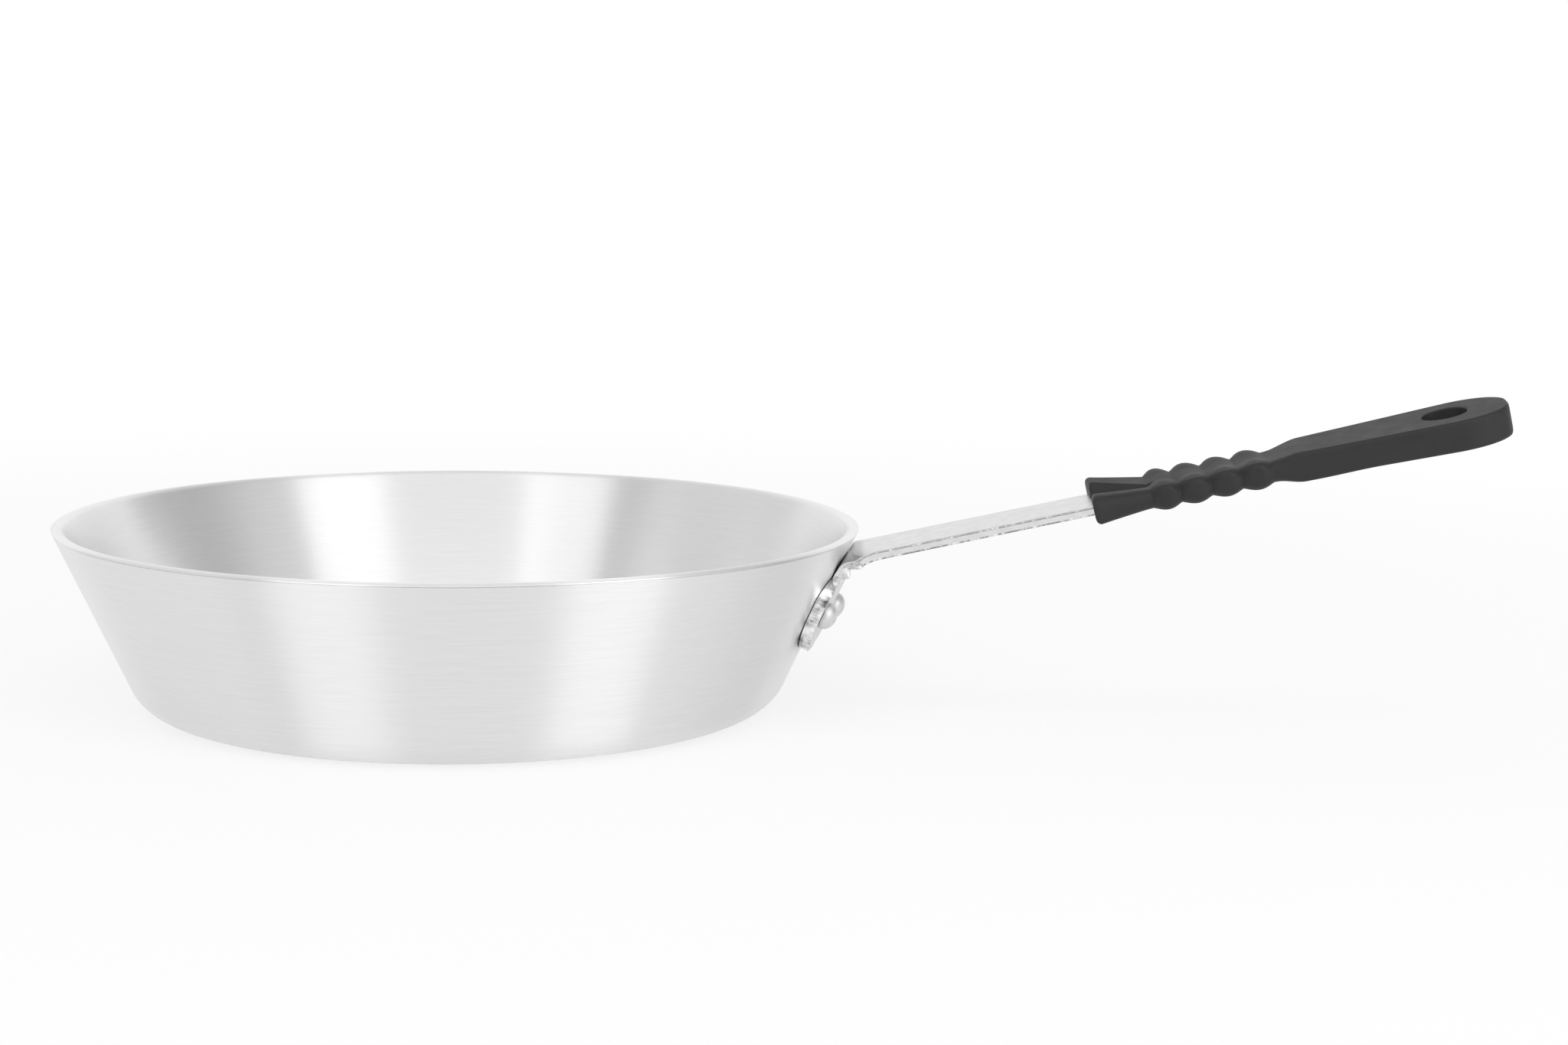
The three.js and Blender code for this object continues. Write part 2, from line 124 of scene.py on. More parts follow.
def linear(colour):
    """An sRGB hex colour as the linear RGBA that a shader takes."""
    parts = [int(colour[i:i + 2], 16) / 255 for i in (1, 3, 5)]
    return [p / 12.92 if p <= 0.04045 else ((p + 0.055) / 1.055) ** 2.4 for p in parts] + [1]


def add_node(tree, kind, settings={}, inputs={}, stops=()):
    """Adds a node: settings are its properties, inputs are values or sockets, stops are a ramp's colours."""
    node = tree.nodes.new(kind)
    for name, value in settings.items():
        setattr(node, name, value)
    for name, value in inputs.items():
        if isinstance(value, bpy.types.NodeSocket):
            tree.links.new(value, node.inputs[name])
        else:
            node.inputs[name].default_value = value
    for number, (position, colour) in enumerate(stops):
        ramp = node.color_ramp.elements
        stop = ramp[number] if number < 2 else ramp.new(position)
        stop.position = position
        stop.color = linear(colour)
    return node


def new_material(name):
    """An empty node material and its tree, with the output node in place."""
    material = bpy.data.materials.new(name)
    material.use_nodes = True
    material.node_tree.nodes.clear()
    return material, material.node_tree, material.node_tree.nodes.new("ShaderNodeOutputMaterial")


# Spun aluminium, satin: a bright neutral metal whose turning lines run round the axis. They spread each
# reflection up and down the wall, so that every lamp becomes a wedge that points at the bowl's axis.
turning_pitch = 0.4  # drawn about twice as coarse as the real lines, which are too fine to show
turning_reach = 22.0  # length of one scratch, along the wall
spun, tree, output = new_material("spun_aluminium_satin")
place = add_node(tree, "ShaderNodeTexCoord")
flat_place = add_node(tree, "ShaderNodeVectorMath", {"operation": "MULTIPLY"},
                      {0: place.outputs["Object"], 1: (1, 1, 0)})
round_place = add_node(tree, "ShaderNodeVectorMath", {"operation": "NORMALIZE"}, {0: flat_place.outputs[0]})
around = add_node(tree, "ShaderNodeVectorMath", {"operation": "SCALE"},
                  {0: round_place.outputs[0], "Scale": rim_radius / turning_reach})
profile_run = add_node(tree, "ShaderNodeAttribute", {"attribute_name": "profile_run"})
line_count = add_node(tree, "ShaderNodeMath", {"operation": "DIVIDE"},
                      {0: profile_run.outputs["Fac"], 1: turning_pitch})
upward = add_node(tree, "ShaderNodeCombineXYZ", {}, {"Z": line_count.outputs[0]})
turning_place = add_node(tree, "ShaderNodeVectorMath", {"operation": "ADD"},
                         {0: around.outputs[0], 1: upward.outputs[0]})
turning_lines = add_node(tree, "ShaderNodeTexNoise", {},
                         {"Vector": turning_place.outputs[0], "Scale": 1.0, "Detail": 3.0, "Roughness": 0.65})
spun_colour = add_node(tree, "ShaderNodeValToRGB", {}, {"Fac": turning_lines.outputs["Fac"]},
                       [(0.3, "#F3F3F3"), (0.7, "#FAFAFA")])
spun_roughness = add_node(tree, "ShaderNodeMapRange", {},
                          {"Value": turning_lines.outputs["Fac"], "From Min": 0.3, "From Max": 0.7,
                           "To Min": 0.37, "To Max": 0.41})
spun_bump = add_node(tree, "ShaderNodeBump", {},
                     {"Height": turning_lines.outputs["Fac"], "Strength": 0.06, "Distance": 0.02 * MM})
lathe_tangent = add_node(tree, "ShaderNodeTangent", {"direction_type": "RADIAL", "axis": "Z"})
shader = add_node(tree, "ShaderNodeBsdfPrincipled", {},
                  {"Base Color": spun_colour.outputs["Color"], "Metallic": 1.0,
                   "Roughness": spun_roughness.outputs["Result"], "Anisotropic": 1.0,
                   "Anisotropic Rotation": 0.25, "Tangent": lathe_tangent.outputs[0],
                   "Normal": spun_bump.outputs[0]})
tree.links.new(shader.outputs[0], output.inputs[0])

# The section runs from the base's middle out and up the outside, over the rim and down the inside.
corner_reach = base_corner * (1 - math.sin(wall_lean)) / math.cos(wall_lean)
corner_middle = Vector((wall_radius(0) - corner_reach, base_corner))
lean_degrees = math.degrees(wall_lean)
rim_cut = 1.5  # the trimmed end, above the middle of a fully round rim
rim_outer_edge = 0.4
rim_inner_edge = 3.0
score_below_rim = 0.42
score_width = 0.35
score_depth = 0.4

rim_end = rim_middle + rim_cut * wall_up
outer_edge = rim_end + (sheet / 2 - rim_outer_edge) * wall_out - rim_outer_edge * wall_up
inner_edge = rim_end - (sheet / 2 - rim_inner_edge) * wall_out - rim_inner_edge * wall_up
score = rim_end + sheet / 2 * wall_out - score_below_rim * wall_up
outer_wall = corner_middle + base_corner * wall_out
inner_wall = corner_middle + (base_corner - sheet) * wall_out
bowl_profile = [
    *even(Vector((0, 0)), Vector((corner_middle.x, 0)), 8),
    *arc(corner_middle, base_corner, -90, -lean_degrees, 16),
    *even(outer_wall, score - score_width * wall_up, 14)[1:],
    score - score_width * wall_up,
    score - 0.5 * score_width * wall_up - score_depth * wall_out,
    score,
    *arc(outer_edge, rim_outer_edge, -lean_degrees, 90 - lean_degrees, 6),
    *arc(inner_edge, rim_inner_edge, 90 - lean_degrees, 180 - lean_degrees, 8),
    *even(inner_edge - rim_inner_edge * wall_out, inner_wall, 14)[1:],
    *arc(corner_middle, base_corner - sheet, -lean_degrees, -90, 14),
    *even(Vector((corner_middle.x, sheet)), Vector((0, sheet)), 8)[1:],
    Vector((0, sheet)),
]
points, faces, runs = turned(bowl_profile, 256)
bowl = add_piece("pan_bowl", points, faces, spun, crease=60)
add_values(bowl, "profile_run", runs)
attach(bowl, "pan")
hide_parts("pan_body")

# The handle strap: sheared from steel strip, its lower end left wide as a lug and bowed to the wall, then
# bent outward under the rim and plated. The shear leaves a rolled upper edge, a torn side and a burr below,
# and the bend pushes a lobe out at each side and curls the near edge outward.
strap_thickness = 3.4
strap_width_at_bend = 28.4
strap_width_at_grip = 26.2
tang_width = 18.0
tang_shoulder_start = 3.0
tang_shoulder_end = 16.0
strap_roll = math.radians(4.5)
bend_height = 64.0
bend_radius_near = 13.0
bend_radius_far = 2.0
bend_radius_least = 1.5
bend_near_share = 6  # the higher, the closer the large radius keeps to the near edge
bend_lobes = ((-6.8, 2.3, 1.5, 2.7), (2.0, 2.5, 0.8, 0.3))  # place, reach, swell aside and burr outward
lug_burr = 1.3
lug_burr_least_half = 8.0
lug_burr_rise = 12.0
burr_reach = 2.5
burr_from = -11.0
burr_rise = 3.0
bend_curl = 2.0
curl_reach = 11.0
curl_hollow = 1.4
curl_from = -9.0
curl_rise = 10.0
curl_fall = 12.0
flat_from = -4.0
flat_to = 5.0
run_standoff = 1.0
lug_width = 46.8
lug_standoff = 0.3
lug_seat_gap = 0.1
lug_below_rivets = 16.6
lug_widest_at = 4.0
lug_above_rivets = 14.2
lug_roundness = 2.8
rivet_height = 41.8
rolled_edge = 0.8
rolled_edge_of_lug = 0.35
torn_edge = 0.45
grip_joint = frame["joints"][0]
strap_rise = math.atan2(grip_joint["axis"][2], grip_joint["axis"][0])
wall_rise = math.pi / 2 - wall_lean


def strap_axes(slope):
    """The strap's direction at a slope, and the upward direction square to it."""
    along = Vector((math.cos(slope), 0, math.sin(slope)))
    return along, Vector((-math.sin(slope), 0, math.cos(slope)))


def ease(value):
    """A smooth step from 0 to 1."""
    value = min(max(value, 0), 1)
    return value * value * (3 - 2 * value)


def falls_away(radius, side):
    """How far a round face of a radius falls away from its middle, at a distance to one side."""
    return radius - math.sqrt(radius * radius - side * side)


run_along, run_up = strap_axes(strap_rise)
wall_along, wall_inward = strap_axes(wall_rise)
half_turn = (wall_rise - strap_rise) / 2
bend_up = strap_axes(strap_rise + half_turn)[1]
wall_at_rivets = Vector((wall_radius(rivet_height), 0, rivet_height))
run_start = Vector((wall_radius(bend_height) + run_standoff / math.cos(wall_lean), 0, bend_height))
strap_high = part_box("handle_strap")[1]
tang_end = (strap_high.x / MM - run_start.x) / math.cos(strap_rise) - 0.5
grip_front = 91.0  # from the start of the run to the grip's front

bend_corner = run_start - run_along * ((run_standoff - lug_standoff) / math.sin(2 * half_turn))
bend_reach = bend_radius_near * math.tan(half_turn)
corner_up_wall = wall_along.dot(bend_corner - wall_at_rivets)

wall_bow = wall_radius(rivet_height) / math.cos(wall_lean)
lug_fall = falls_away(wall_bow, lug_width / 2) + lug_standoff - lug_seat_gap
lug_bow = ((lug_width / 2) ** 2 + lug_fall ** 2) / (2 * lug_fall)


def wall_station(up_wall, half, trim=0.0):
    """A place on the lug or neck: upper and lower middle, slope, half width and distance from the bend."""
    upper = wall_at_rivets + wall_along * up_wall - wall_inward * (lug_standoff + trim)
    lower = upper - wall_inward * (strap_thickness - 2 * trim)
    return upper, lower, wall_rise, half, up_wall - corner_up_wall


def run_station(distance, half):
    """The same for the run or the tang, at a distance from the start of the run."""
    upper = run_start + run_along * distance
    lower = upper - run_up * strap_thickness
    return upper, lower, strap_rise, half, run_along.dot(upper - bend_corner)


def strap_stations():
    """All places along the strap, from the lug's lower end to the end of the tang."""
    stations = []
    lug_drop = lug_widest_at + lug_below_rivets
    lower_steps = 32
    for i in range(lower_steps + 1):
        angle = math.radians(88) * (1 - i / lower_steps)
        drop = lug_drop * math.sin(angle) ** (2 / lug_roundness)
        half = lug_width / 2 * math.cos(angle) ** (2 / lug_roundness)
        rounded = max(1 - (lug_drop - drop) / rolled_edge, 0)
        trim = rolled_edge * (1 - math.sqrt(1 - rounded * rounded))
        stations.append(wall_station(lug_widest_at - drop, half, trim))
    upper_steps = 24
    for i in range(1, upper_steps + 1):
        part = math.sin(math.pi / 2 * i / upper_steps)
        half = (strap_width_at_bend + (lug_width - strap_width_at_bend) * (1 - part ** 3) ** 0.8) / 2
        stations.append(wall_station(lug_widest_at + (lug_above_rivets - lug_widest_at) * part, half))
    neck_steps = 12
    neck_end = corner_up_wall - bend_reach
    for i in range(1, neck_steps):
        up_wall = lug_above_rivets + (neck_end - lug_above_rivets) * i / neck_steps
        stations.append(wall_station(up_wall, strap_width_at_bend / 2))
    bend_steps = 24
    for i in range(bend_steps + 1):
        slope = wall_rise + (strap_rise - wall_rise) * i / bend_steps
        stations.append((None, None, slope, strap_width_at_bend / 2, bend_reach * (2 * i / bend_steps - 1)))
    run_step = 0.9
    distance = run_along.dot(bend_corner - run_start) + bend_reach + run_step
    while distance < tang_end:
        half = strap_width_at_bend + (strap_width_at_grip - strap_width_at_bend) * distance / grip_front
        if distance > grip_front + tang_shoulder_start:
            past = (distance - grip_front - tang_shoulder_start) / (tang_shoulder_end - tang_shoulder_start)
            half = strap_width_at_grip + (tang_width - strap_width_at_grip) * min(past, 1)
        stations.append(run_station(distance, half / 2))
        distance += run_step if distance < grip_front + tang_shoulder_end else 10 * run_step
    stations.append(run_station(tang_end, tang_width / 2))
    return stations


def in_bend(depth, slope, radius):
    """A point in the bend, at a depth below a face bent with a radius, where the strap has a slope."""
    corner = bend_corner - bend_up * (depth / math.cos(half_turn))
    radius = max(radius - depth, bend_radius_least)
    return corner - bend_up * (radius / math.cos(half_turn)) + strap_axes(slope)[1] * radius


def strap_section(half, thickness, rolled):
    """The strap's section as (side, depth, torn share) points, in the order that faces its skin outward."""
    rolled = min(rolled, half / 2, thickness / 2.2)
    torn = min(torn_edge, half / 2, thickness / 2.2)
    face_steps = 36
    corner_steps = 4
    side_steps = 6
    right = []
    for i in range(corner_steps + 1):
        angle = math.pi / 2 * (1 - i / corner_steps)
        right.append((half - rolled + rolled * math.cos(angle), rolled - rolled * math.sin(angle),
                      i / corner_steps))
    for i in range(1, side_steps):
        right.append((half, rolled + (thickness - rolled - torn) * i / side_steps, 1.0))
    for i in range(corner_steps + 1):
        angle = math.pi / 2 * i / corner_steps
        right.append((half - torn + torn * math.cos(angle), thickness - torn + torn * math.sin(angle),
                      1 - i / corner_steps))
    upper = [(-half + rolled + 2 * (half - rolled) * i / face_steps, 0.0, 0.0) for i in range(1, face_steps)]
    lower = [(half - torn - 2 * (half - torn) * i / face_steps, thickness, 0.0) for i in range(1, face_steps)]
    left = [(-side, depth, tear) for side, depth, tear in reversed(right)]
    return list(reversed(upper + right + lower + left))


def skinned(rings):
    """Joins a row of rings of points into a closed skin, with a fan at each end."""
    points = [point for ring in rings for point in ring]
    count = len(rings[0])
    faces = []
    for ring in range(len(rings) - 1):
        for i in range(count):
            j = (i + 1) % count
            faces.append((ring * count + i, ring * count + j, (ring + 1) * count + j, (ring + 1) * count + i))
    for start, ring in ((0, rings[0]), ((len(rings) - 1) * count, rings[-1])):
        hub = len(points)
        points.append(sum((Vector(point) for point in ring), Vector()) / count)
        for i in range(count):
            j = (i + 1) % count
            faces.append((hub, start + j, start + i) if start == 0 else (hub, start + i, start + j))
    return points, faces


# Bright nickel-plated steel: a pale satin face. The plating follows the sheared sides. Along the edges of the
# run a painted dark line under the rolled edge and painted bright glints and dark flecks stand in for
# reflections, and the streaked patches on the sides of the lug are partly the torn steel's own tone and
# partly painted reflection.
crinkle_size = 1.6
crinkle_depth = 0.22
peel_size = 4.5
sparkle_length = 2.6
sparkle_waves_deep = 1.6  # waves of the noise from the upper face to the lower
patch_length = 6.5
patches_deep = 0.8
streak_width = 0.6
streaks_deep = 0.9
plated, tree, output = new_material("nickel_plated_steel")
place = add_node(tree, "ShaderNodeTexCoord")
torn_share = add_node(tree, "ShaderNodeAttribute", {"attribute_name": "torn"})
along = add_node(tree, "ShaderNodeAttribute", {"attribute_name": "along"})
depth = add_node(tree, "ShaderNodeAttribute", {"attribute_name": "depth"})
crinkles = add_node(tree, "ShaderNodeTexNoise", {},
                    {"Vector": place.outputs["Object"], "Scale": 1 / (crinkle_size * MM), "Detail": 4.0,
                     "Roughness": 0.6})
orange_peel = add_node(tree, "ShaderNodeTexNoise", {},
                       {"Vector": place.outputs["Object"], "Scale": 1 / (peel_size * MM), "Detail": 3.0})
plated_colour = add_node(tree, "ShaderNodeValToRGB", {}, {"Fac": orange_peel.outputs["Fac"]},
                         [(0.35, "#DBDBDB"), (0.65, "#E3E3E3")])

side_place = add_node(tree, "ShaderNodeCombineXYZ", {},
                      {"X": along.outputs["Fac"], "Y": depth.outputs["Fac"]})
# Painted glints and dark flecks, standing in for the reflections of the torn edges of the run.
sparkle_place = add_node(tree, "ShaderNodeVectorMath", {"operation": "MULTIPLY"},
                       {0: side_place.outputs[0], 1: (1 / sparkle_length, sparkle_waves_deep, 0)})
sparkle_noise = add_node(tree, "ShaderNodeTexNoise", {},
                  {"Vector": sparkle_place.outputs[0], "Scale": 1.0, "Detail": 4.0, "Roughness": 0.7})
# Painted shade: the flecks darken towards the upper face, which makes the dark line under the rolled edge.
painted_shade_under_roll = add_node(tree, "ShaderNodeMapRange", {},
                      {"Value": depth.outputs["Fac"], "From Min": 0.3, "From Max": 0.7,
                       "To Min": 0.07, "To Max": 0.0})
sparkle_share = add_node(tree, "ShaderNodeMath", {"operation": "ADD"},
                       {0: sparkle_noise.outputs["Fac"], 1: painted_shade_under_roll.outputs["Result"]})
painted_glints_and_flecks = add_node(tree, "ShaderNodeValToRGB", {}, {"Fac": sparkle_share.outputs[0]},
                        [(0.38, "#FFFFFF"), (0.44, "#E4E4E4"), (0.48, "#C8C8C8"), (0.55, "#707070")])
# The painted flecks go in two bands of the torn side, just under the rolled edge and along the burr below.
painted_edge_bands = add_node(tree, "ShaderNodeValToRGB", {}, {"Fac": depth.outputs["Fac"]},
                      [(0.0, "#000000"), (0.05, "#000000"), (0.10, "#FFFFFF"), (0.17, "#FFFFFF"),
                       (0.25, "#000000"), (0.74, "#000000"), (0.88, "#FFFFFF"), (1.0, "#FFFFFF")])
run_colour = add_node(tree, "ShaderNodeMix", {"data_type": "RGBA"},
                      {0: painted_edge_bands.outputs["Color"], 6: plated_colour.outputs["Color"],
                       7: painted_glints_and_flecks.outputs["Color"]})
patch_place = add_node(tree, "ShaderNodeVectorMath", {"operation": "MULTIPLY"},
                       {0: side_place.outputs[0], 1: (1 / patch_length, patches_deep, 0)})
patches = add_node(tree, "ShaderNodeTexNoise", {},
                   {"Vector": patch_place.outputs[0], "Scale": 1.0, "Detail": 2.0})
streak_place = add_node(tree, "ShaderNodeVectorMath", {"operation": "MULTIPLY"},
                        {0: side_place.outputs[0], 1: (1 / streak_width, streaks_deep, 0)})
streaks = add_node(tree, "ShaderNodeTexNoise", {},
                   {"Vector": streak_place.outputs[0], "Scale": 1.0, "Detail": 3.0})
streaked = add_node(tree, "ShaderNodeMix", {},
                    {0: 0.28, 2: patches.outputs["Fac"], 3: streaks.outputs["Fac"]})
# Streaked patches on the lug's torn sides: partly the steel's own burnished and fractured tone, partly
# painted reflection.
patch_tone_and_reflection = add_node(tree, "ShaderNodeValToRGB", {}, {"Fac": streaked.outputs[0]},
                        [(0.41, "#808080"), (0.47, "#CECECE"), (0.56, "#F0F0F0"), (0.60, "#FFFFFF")])
on_lug = add_node(tree, "ShaderNodeMapRange", {},
                  {"Value": along.outputs["Fac"], "From Min": -3.0, "From Max": 3.0,
                   "To Min": 1.0, "To Max": 0.0})
torn_colour = add_node(tree, "ShaderNodeMix", {"data_type": "RGBA"},
                       {0: on_lug.outputs["Result"], 6: run_colour.outputs[2],
                        7: patch_tone_and_reflection.outputs["Color"]})
edge_colour = add_node(tree, "ShaderNodeMix", {"data_type": "RGBA"},
                       {0: torn_share.outputs["Fac"], 6: plated_colour.outputs["Color"],
                        7: torn_colour.outputs[2]})
plated_roughness = add_node(tree, "ShaderNodeMapRange", {},
                            {"Value": torn_share.outputs["Fac"], "To Min": 0.36, "To Max": 0.24})
peel_bump = add_node(tree, "ShaderNodeBump", {},
                     {"Height": orange_peel.outputs["Fac"], "Strength": 0.10, "Distance": 0.05 * MM})
crinkled = add_node(tree, "ShaderNodeMapRange", {},
                    {"Value": on_lug.outputs["Result"], "To Min": 0.3, "To Max": 0.8})
crinkle_share = add_node(tree, "ShaderNodeMath", {"operation": "MULTIPLY"},
                         {0: crinkled.outputs["Result"], 1: torn_share.outputs["Fac"]})
crinkle_height = add_node(tree, "ShaderNodeMath", {"operation": "MULTIPLY"},
                          {0: crinkles.outputs["Fac"], 1: crinkle_share.outputs[0]})
crinkle_bump = add_node(tree, "ShaderNodeBump", {},
                        {"Height": crinkle_height.outputs[0], "Strength": 0.9, "Distance": crinkle_depth * MM,
                         "Normal": peel_bump.outputs[0]})
shader = add_node(tree, "ShaderNodeBsdfPrincipled", {},
                  {"Base Color": edge_colour.outputs[2], "Metallic": 1.0,
                   "Roughness": plated_roughness.outputs["Result"], "Normal": crinkle_bump.outputs[0]})
tree.links.new(shader.outputs[0], output.inputs[0])

# The skin: each section is rolled, bowed to the wall on the lug, bent, curled and roughened where torn.
ragged_on_lug = 1.2
ragged_on_run = 0.6
smooth_at_grip = 6.0  # the run's sides are clean beside the grip
ragged_along = 0.9
ragged_deep = 0.8
ragged_side = 9  # keeps the noise of the two sides apart
rings, torn_values, along_values, depth_values = [], [], [], []
for upper, lower, slope, half, place in strap_stations():
    up = strap_axes(slope)[1]
    flatness = ease((place - flat_from) / (flat_to - flat_from))
    roll = strap_roll * flatness
    curl = bend_curl * ease((place - curl_from) / curl_rise) * (1 - ease(place / curl_fall))
    across = Vector((0, math.cos(roll), 0)) + up * math.sin(roll)
    on_lug = min(max((burr_from - place) / burr_rise, 0), 1)
    lobe = 0.0
    burr = lug_burr * on_lug * ease((half - lug_burr_least_half) / lug_burr_rise)
    for middle, reach, aside, outward in bend_lobes:
        swell = math.exp(-((place - middle) / reach) ** 2)
        lobe += aside * swell
        burr += outward * swell
    ring = []
    for side, depth, tear in strap_section(half, strap_thickness,
                                           rolled_edge + (rolled_edge_of_lug - rolled_edge) * on_lug):
        below = depth / strap_thickness
        at_edge = max(1 - (half - abs(side)) / burr_reach, 0)
        top, bottom = upper, lower
        if upper is None:
            nearness = ((1 - side / half) / 2) ** bend_near_share
            radius = bend_radius_far + (bend_radius_near - bend_radius_far) * nearness
            top, bottom = in_bend(0, slope, radius), in_bend(strap_thickness, slope, radius)
        through = (bottom - top) * below
        point = top + through * math.cos(roll) + up * (falls_away(lug_bow, side) * (1 - flatness))
        curled = max(1 - (half + side) / curl_reach, 0)
        point -= up * (curl * curled ** curl_hollow + burr * below * at_edge ** 2)
        point.y += through.length * math.sin(roll)
        rough = 0.0
        if place < burr_from:
            rough = crinkle_depth * ragged_on_lug
        elif place < grip_front - smooth_at_grip:
            rough = crinkle_depth * ragged_on_run
        noise_place = (place * ragged_along, depth * ragged_deep, math.copysign(ragged_side, side))
        ragged = rough * noise.noise(noise_place)
        ring.append(point + across * (side + math.copysign(tear * (ragged + lobe * below), side)))
        torn_values.append(tear)
        along_values.append(place)
        depth_values.append(below)
    rings.append(ring)
points, faces = skinned(rings)
strap = add_piece("handle_strap_plated", points, faces, plated, crease=55)
add_values(strap, "torn", torn_values + [1.0, 1.0])
add_values(strap, "along", along_values + [along_values[0], along_values[-1]])
add_values(strap, "depth", depth_values + [0.5, 0.5])
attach(strap, "pan")
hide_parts("handle_strap")

# The rivets: solid aluminium, pushed through the wall and the lug and upset, with a button head outside and
# a flat head inside the bowl. Tumbling leaves them satin with fine dents.
rivet_shank = 4.8
rivet_outer_head = 10.4
rivet_outer_height = 4.2
rivet_outer_proud = 0.3
rivet_outer_sunk = 0.4  # the upset head beds into the lug
rivet_inner_head = 10.0
rivet_inner_height = 1.3
rivet_inner_edge = 0.45
rivet_head_rim = 0.2  # height of the button head's upright edge
rivet_head_undercut = 0.1
button_fullness = 1.85  # 2 is an ellipse, less thins the head's edge

# Tumbled aluminium: a satin grey-white metal, softly dented all over.
dent_size = 1.1
tumbled, tree, output = new_material("tumbled_aluminium")
place = add_node(tree, "ShaderNodeTexCoord")
dents = add_node(tree, "ShaderNodeTexNoise", {},
                 {"Vector": place.outputs["Object"], "Scale": 1 / (dent_size * MM), "Detail": 4.0})
dent_bump = add_node(tree, "ShaderNodeBump", {},
                     {"Height": dents.outputs["Fac"], "Strength": 0.35, "Distance": 0.08 * MM})
tumbled_colour = add_node(tree, "ShaderNodeValToRGB", {}, {"Fac": dents.outputs["Fac"]},
                          [(0.35, "#DADADA"), (0.65, "#E6E6E6")])
tumbled_roughness = add_node(tree, "ShaderNodeMapRange", {},
                             {"Value": dents.outputs["Fac"], "From Min": 0.3, "From Max": 0.7,
                              "To Min": 0.42, "To Max": 0.55})
shader = add_node(tree, "ShaderNodeBsdfPrincipled", {},
                  {"Base Color": tumbled_colour.outputs["Color"], "Metallic": 1.0,
                   "Roughness": tumbled_roughness.outputs["Result"], "Normal": dent_bump.outputs[0]})
tree.links.new(shader.outputs[0], output.inputs[0])

for node_name, side in (("rivet_left", -1), ("rivet_right", 1)):
    corners = [Vector(v.co) / MM for v in frame["nodes"][node_name].data.vertices]
    middle = sum(corners, Vector()) / len(corners)
    turn = math.asin(abs(middle.y) / math.hypot(middle.x, middle.y))
    outward = Vector((math.cos(turn), side * math.sin(turn), -math.tan(wall_lean))).normalized()
    reach = [outward.dot(corner - middle) for corner in corners]
    outer_seat = max(reach) + rivet_outer_proud - rivet_outer_height
    inner_seat = min(reach) + rivet_inner_height
    inner_edge_middle = (rivet_inner_head / 2 - rivet_inner_edge, min(reach) + rivet_inner_edge)
    profile = [Vector((0, min(reach)))]
    profile += arc(inner_edge_middle, rivet_inner_edge, -90, 0, 4)
    profile += [Vector((rivet_inner_head / 2, inner_seat)), Vector((rivet_shank / 2, inner_seat))]
    sunk_seat = outer_seat - rivet_outer_sunk
    profile.append(Vector((rivet_shank / 2, sunk_seat)))
    profile.append(Vector((rivet_outer_head / 2 - rivet_head_undercut, sunk_seat)))
    head_steps = 16
    for i in range(head_steps + 1):
        angle = math.pi / 2 * i / head_steps
        radius = rivet_outer_head / 2 * math.cos(angle) ** (2 / button_fullness)
        rise = math.sin(angle) ** (2 / button_fullness)
        height = outer_seat + rivet_head_rim + (rivet_outer_height - rivet_head_rim) * rise
        profile.append(Vector((0 if i == head_steps else radius, height)))
    points, faces, runs = turned(profile, 48)
    turn_to_wall = Vector((0, 0, 1)).rotation_difference(outward).to_matrix()
    points = [middle + turn_to_wall @ Vector(point) for point in points]
    rivet = add_piece(node_name + "_tumbled", points, faces, tumbled)
    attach(rivet, "pan")
    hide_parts(node_name)

# The grip: one piece of silicone rubber, moulded and pulled over the tang. It flares at the front with a
# thumb groove on top, has four soft beads for the fingers, each a pair of side lobes, and ends in a flat
# paddle with a hanging hole. The soft sleeve sits a little twisted on the tang, most of all at its front.
slide_gap = 0.15
grip_length = 154.8
flare_length = 21.6
flare_half = 17.8
flare_above = 5.5
flare_below = 5.5
flare_edge = 2.2
flare_upper_corner = 5.0
flare_lower_corner = 1.8
flare_curve = 0.85  # 1 is a straight taper, less narrows it sooner
front_hollow = 1.6
front_skew = 0.094
skew_from = 10.0
skew_length = 20.0
groove_length = 24.5
groove_far = 6.0
groove_far_drift = 9.0
groove_wall = 3.0
groove_near = 10.0
groove_floor = 1.3
groove_runout = 4.0
bead_count = 4
first_bead = 10.4
bead_pitch = 11.35
bead_rise = 1.35
bead_drop = 1.3
bead_bulge = 2.0
bead_lobe = 0.5
bead_lobe_aside = 8.6
bead_lobe_reach = 3.2
bead_skew = 0.16
valley_half = 12.2
valley_above = 2.2
valley_last_rise = 0.5
valley_below = 5.2
valley_upper_corner = 4.5
crest_upper_corner = 2.0
valley_lower_corner = 4.0
paddle_blend = 13.0
paddle_above = 4.7
paddle_below = 5.75
paddle_root_below = 0.8
paddle_root_length = 28.0
paddle_tip_growth = 0.5
paddle_root_half = 13.0
paddle_end_half = 17.0
paddle_end_length = 20.4
paddle_end_roundness = 2.2
paddle_corner = 1.5
hole_to_tip = 22.9
hole_length = 16.4
hole_width = 15.2
hole_edge = 0.5
twist_front = math.radians(5.0)
twist_beads = math.radians(1.7)
twist_paddle = math.radians(2.5)
twist_from = 10.0
twist_length = 52.0
beads_end = flare_length + first_bead + (bead_count - 1) * bead_pitch
paddle_start = beads_end + paddle_blend
round_end_start = grip_length - paddle_end_length


def mixed(first, second, part):
    """Each number of first moved a part of the way to second."""
    return [a + (b - a) * part for a, b in zip(first, second)]


def rounded_in(radius, distance):
    """How far an edge rounded with a radius draws in, at a distance from the end face."""
    inside = max(radius - distance, 0)
    return radius - math.sqrt(radius * radius - inside * inside)


